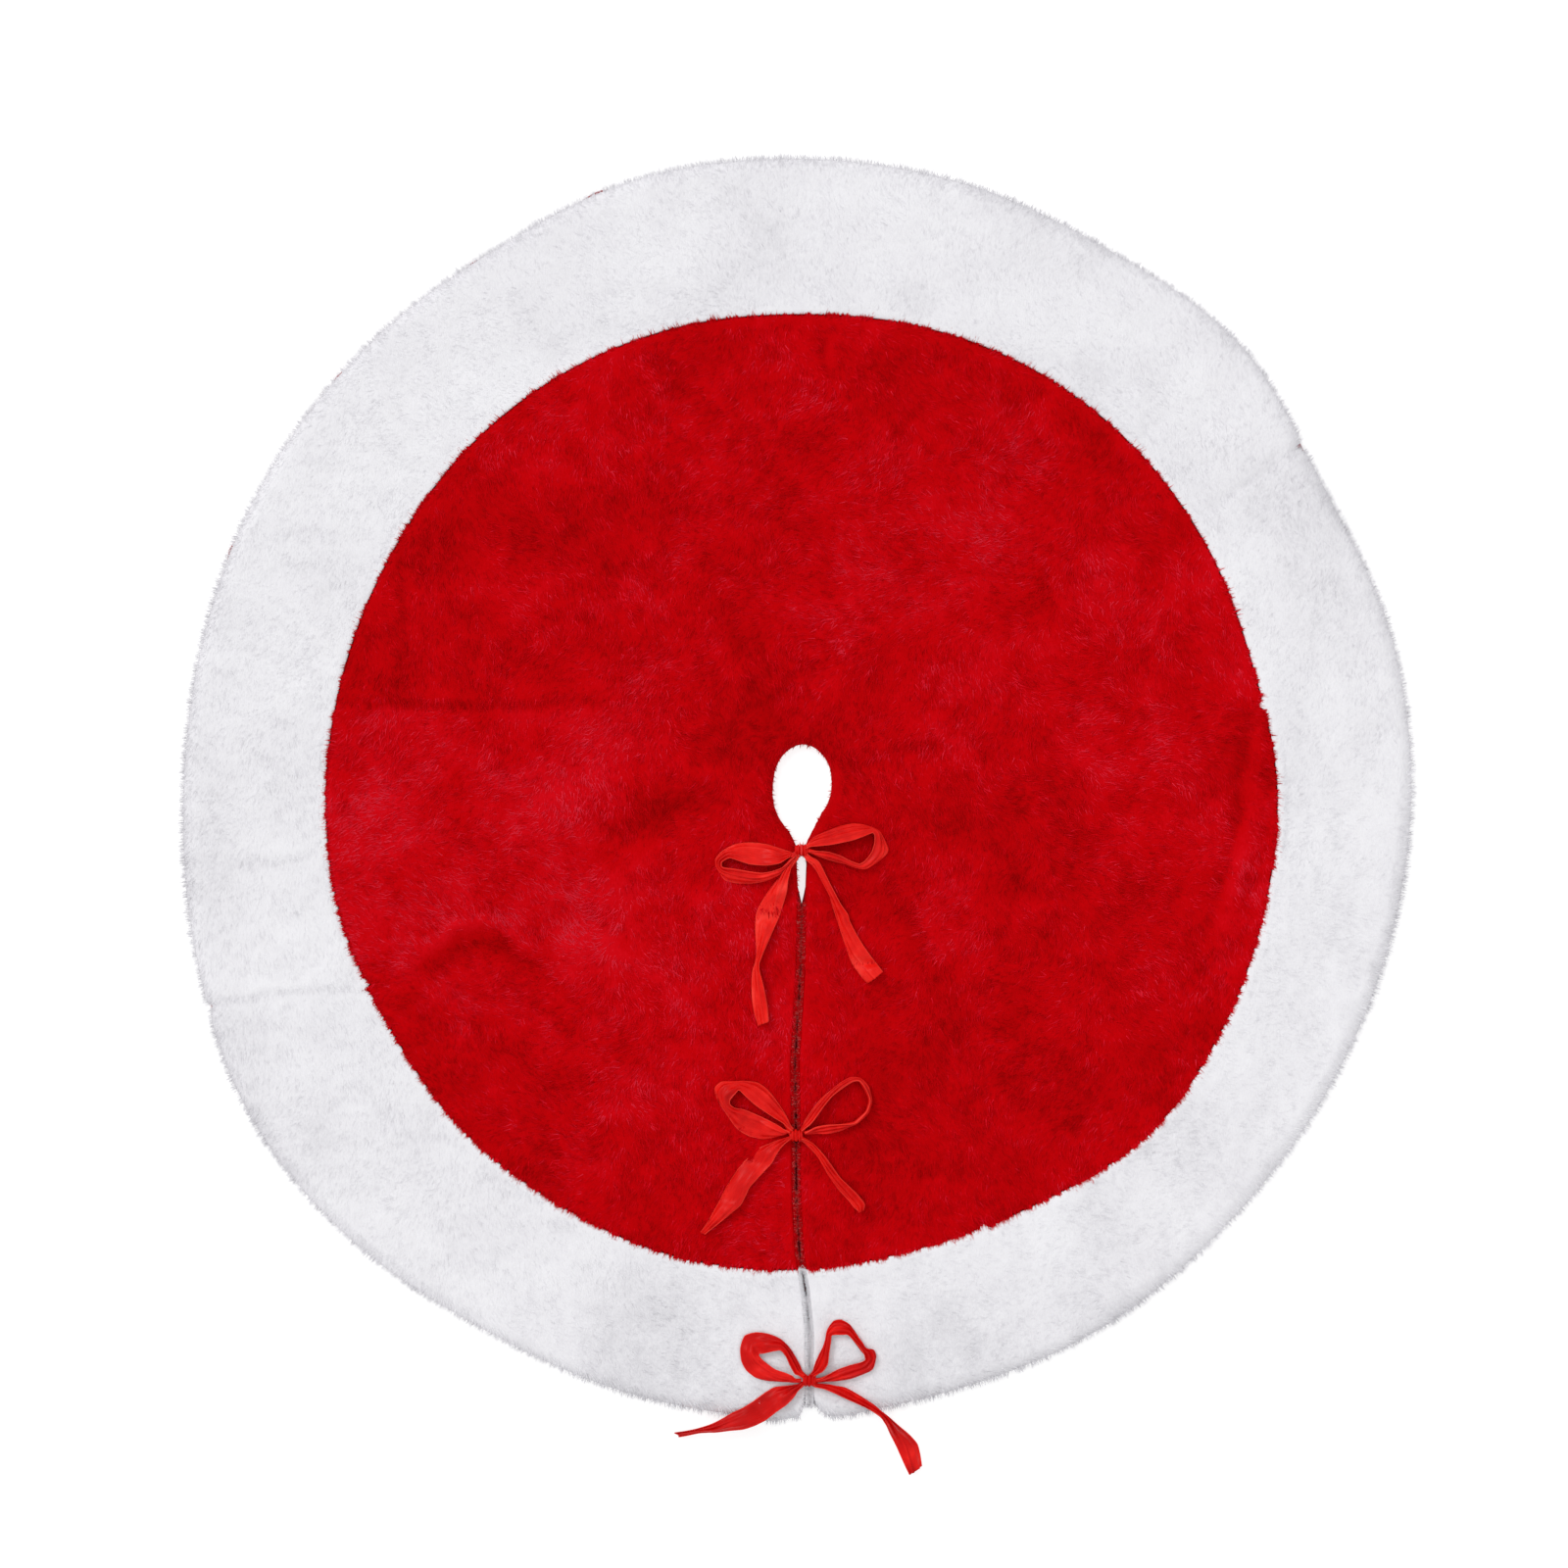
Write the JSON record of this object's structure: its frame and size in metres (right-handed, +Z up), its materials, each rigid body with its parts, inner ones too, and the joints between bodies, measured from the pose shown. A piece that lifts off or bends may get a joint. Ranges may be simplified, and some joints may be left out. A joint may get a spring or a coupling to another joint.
{
  "type": "tree skirt",
  "caption": "Round plush skirt that lies on the floor round the foot of a tree, with a trunk opening, a slit to the rim closed by ribbon bows, and a contrasting border.",
  "frame": {"origin": "on the floor, on the axis of the trunk opening", "axes": "+Z up along the trunk, the slit runs along -Y to the rim, +X to the right seen from above"},
  "size_m": [1.2065, 1.2899, 0.0269],
  "materials": {
    "red_plush": "short dense pile, soft sheen along the nap",
    "white_plush": "short dense pile, matt with a soft sheen",
    "lining": "thin matt woven cloth",
    "thread": "twisted sewing thread",
    "satin_ribbon": "smooth satin with a soft lustre"
  },
  "bodies": {
    "back_half": {"lining_back": "lining", "red_plush_back": "red_plush", "white_border_back_right": "white_plush", "white_border_back": "white_plush", "border_seam_thread_back": "thread"},
    "left_flap": {"lining_left_flap": "lining", "red_plush_left_flap": "red_plush", "white_border_left_upper": "white_plush", "white_border_left_lower": "white_plush", "border_seam_thread_left_flap": "thread", "bow1_left_sewn_end": "satin_ribbon", "bow1_left_knot_half": "satin_ribbon", "bow2_left_sewn_end": "satin_ribbon", "bow2_left_knot_half": "satin_ribbon", "bow3_left_sewn_end": "satin_ribbon", "bow3_left_knot_half": "satin_ribbon"},
    "right_flap": {"lining_right_flap": "lining", "red_plush_right_flap": "red_plush", "white_border_right": "white_plush", "border_seam_thread_right_flap": "thread", "bow1_right_sewn_end": "satin_ribbon", "bow1_right_knot_half": "satin_ribbon", "bow2_right_sewn_end": "satin_ribbon", "bow2_right_knot_half": "satin_ribbon", "bow3_right_sewn_end": "satin_ribbon", "bow3_right_knot_half": "satin_ribbon"},
    "bow1_left_loop": {"bow1_left_loop": "satin_ribbon"},
    "bow1_left_tail": {"bow1_left_tail": "satin_ribbon"},
    "bow1_right_loop": {"bow1_right_loop": "satin_ribbon"},
    "bow1_right_tail": {"bow1_right_tail": "satin_ribbon"},
    "bow2_left_loop": {"bow2_left_loop": "satin_ribbon"},
    "bow2_left_tail": {"bow2_left_tail": "satin_ribbon"},
    "bow2_right_loop": {"bow2_right_loop": "satin_ribbon"},
    "bow2_right_tail": {"bow2_right_tail": "satin_ribbon"},
    "bow3_left_loop": {"bow3_left_loop": "satin_ribbon"},
    "bow3_left_tail": {"bow3_left_tail": "satin_ribbon"},
    "bow3_right_loop": {"bow3_right_loop": "satin_ribbon"},
    "bow3_right_tail": {"bow3_right_tail": "satin_ribbon"}
  },
  "joints": [
    {"name": "left_flap_fold", "type": "hinge", "parent": "back_half", "child": "left_flap", "pos_m": [-0.3, 0, 0.0128], "axis": [-1, 0, 0], "range_deg": [0, 115]},
    {"name": "right_flap_fold", "type": "hinge", "parent": "back_half", "child": "right_flap", "pos_m": [0.3, 0, 0.0128], "axis": [-1, 0, 0], "range_deg": [0, 115]},
    {"name": "bow1_left_loop_lift", "type": "hinge", "parent": "left_flap", "child": "bow1_left_loop", "pos_m": [-0.00795, -0.0652, 0.02059], "axis": [-0.2358, 0.9718, 0], "range_deg": [0, 40]},
    {"name": "bow1_left_tail_lift", "type": "hinge", "parent": "left_flap", "child": "bow1_left_tail", "pos_m": [-0.0047, -0.06945, 0.02082], "axis": [-0.9463, 0.3233, 0], "range_deg": [0, 60]},
    {"name": "bow1_right_loop_lift", "type": "hinge", "parent": "right_flap", "child": "bow1_right_loop", "pos_m": [0.00855, -0.05595, 0.02025], "axis": [-0.0381, -0.9993, 0], "range_deg": [0, 40]},
    {"name": "bow1_right_tail_lift", "type": "hinge", "parent": "right_flap", "child": "bow1_right_tail", "pos_m": [0.00805, -0.0687, 0.02082], "axis": [-0.8682, -0.4963, 0], "range_deg": [0, 60]},
    {"name": "bow2_left_loop_lift", "type": "hinge", "parent": "left_flap", "child": "bow2_left_loop", "pos_m": [-0.01245, -0.3298, 0.02253], "axis": [0.4362, 0.8999, 0], "range_deg": [0, 40]},
    {"name": "bow2_left_tail_lift", "type": "hinge", "parent": "left_flap", "child": "bow2_left_tail", "pos_m": [-0.0122, -0.34305, 0.02026], "axis": [-0.6974, 0.7167, 0], "range_deg": [0, 60]},
    {"name": "bow2_right_loop_lift", "type": "hinge", "parent": "right_flap", "child": "bow2_right_loop", "pos_m": [0.0043, -0.33005, 0.02171], "axis": [0.4556, -0.8902, 0], "range_deg": [0, 40]},
    {"name": "bow2_right_tail_lift", "type": "hinge", "parent": "right_flap", "child": "bow2_right_tail", "pos_m": [0.00455, -0.34305, 0.01991], "axis": [-0.7647, -0.6444, 0], "range_deg": [0, 60]},
    {"name": "bow3_left_loop_lift", "type": "hinge", "parent": "left_flap", "child": "bow3_left_loop", "pos_m": [-0.0004, -0.57055, 0.02085], "axis": [0.411, 0.9116, 0], "range_deg": [0, 40]},
    {"name": "bow3_left_tail_lift", "type": "hinge", "parent": "left_flap", "child": "bow3_left_tail", "pos_m": [-0.0009, -0.58355, 0.0213], "axis": [-0.4377, 0.8991, 0], "range_deg": [0, 60]},
    {"name": "bow3_right_loop_lift", "type": "hinge", "parent": "right_flap", "child": "bow3_right_loop", "pos_m": [0.01435, -0.5703, 0.02084], "axis": [0.5764, -0.8172, 0], "range_deg": [0, 40]},
    {"name": "bow3_right_tail_lift", "type": "hinge", "parent": "right_flap", "child": "bow3_right_tail", "pos_m": [0.0156, -0.58305, 0.02183], "axis": [-0.5132, -0.8583, 0], "range_deg": [0, 60]}
  ]
}
